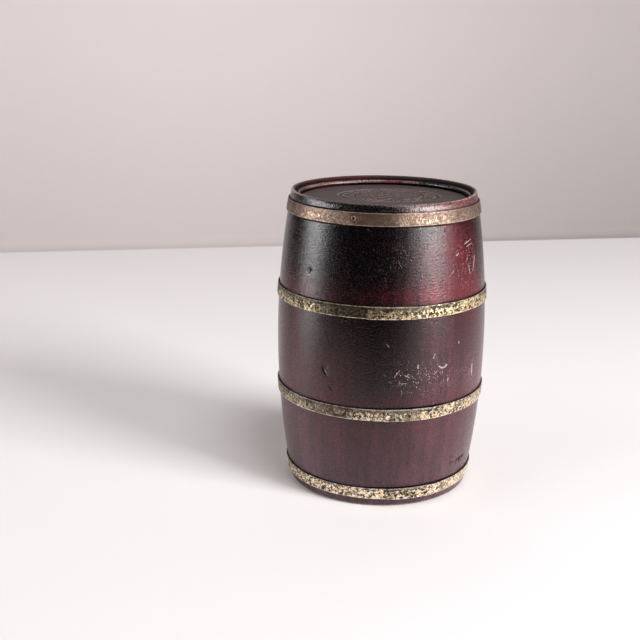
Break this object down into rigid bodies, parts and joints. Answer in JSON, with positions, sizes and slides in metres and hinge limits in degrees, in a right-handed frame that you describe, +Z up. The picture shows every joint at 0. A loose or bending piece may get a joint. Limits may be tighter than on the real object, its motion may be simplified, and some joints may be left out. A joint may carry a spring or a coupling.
{
  "type": "barrel humidor",
  "caption": "Turned wooden barrel jar with nailed brass hoops, a lift-off lid with a sunk top, a metal liner and a perforated humidifier under the lid.",
  "frame": {"origin": "middle of the foot, on the surface that the barrel stands on", "axes": "+Z up along the barrel's axis; the front, with a nail of each hoop, faces -Y; +X to the right of the front"},
  "size_m": [0.1164, 0.1171, 0.165],
  "materials": {
    "lacquer": "dark red-brown mahogany lacquer, worn, satin",
    "panel": "grey-brown stained wood, matt",
    "brass": "aged brass strip with dark corrosion spots and patina",
    "nail": "tarnished round-headed brass nail",
    "bare_wood": "bare mahogany, matt",
    "liner": "spun tinned sheet, dull",
    "cork": "cork, matt",
    "plated": "nickel-plated brass sheet, dulled",
    "felt": "pale felt"
  },
  "bodies": {
    "barrel": {"barrel_body": "lacquer", "bottom_head": "bare_wood", "liner_cup": "liner", "hoop_upper": "brass", "hoop_lower": "brass", "hoop_base": "brass", "nail_upper_1": "nail", "nail_upper_2": "nail", "nail_upper_3": "nail", "nail_upper_4": "nail", "nail_lower_1": "nail", "nail_lower_2": "nail", "nail_lower_3": "nail", "nail_lower_4": "nail", "nail_base_1": "nail", "nail_base_2": "nail", "nail_base_3": "nail", "nail_base_4": "nail"},
    "lid": {"lid_turning": "lacquer", "lid_head_panel": "panel", "cork_seal": "cork", "hoop_lid": "brass", "nail_lid_1": "nail", "nail_lid_2": "nail", "nail_lid_3": "nail", "nail_lid_4": "nail", "humidifier_dish": "plated", "dish_screw_1": "plated", "dish_screw_2": "plated", "dish_screw_3": "plated"},
    "humidifier": {"humidifier_cover": "plated", "moisture_pad": "felt"}
  },
  "joints": [
    {"name": "lid_lift", "type": "slide", "parent": "barrel", "child": "lid", "axis": [0, 0, 1], "range_m": [0, 0.1]},
    {"name": "humidifier_pull", "type": "slide", "parent": "lid", "child": "humidifier", "axis": [0, 0, -1], "range_m": [0, 0.02]}
  ]
}
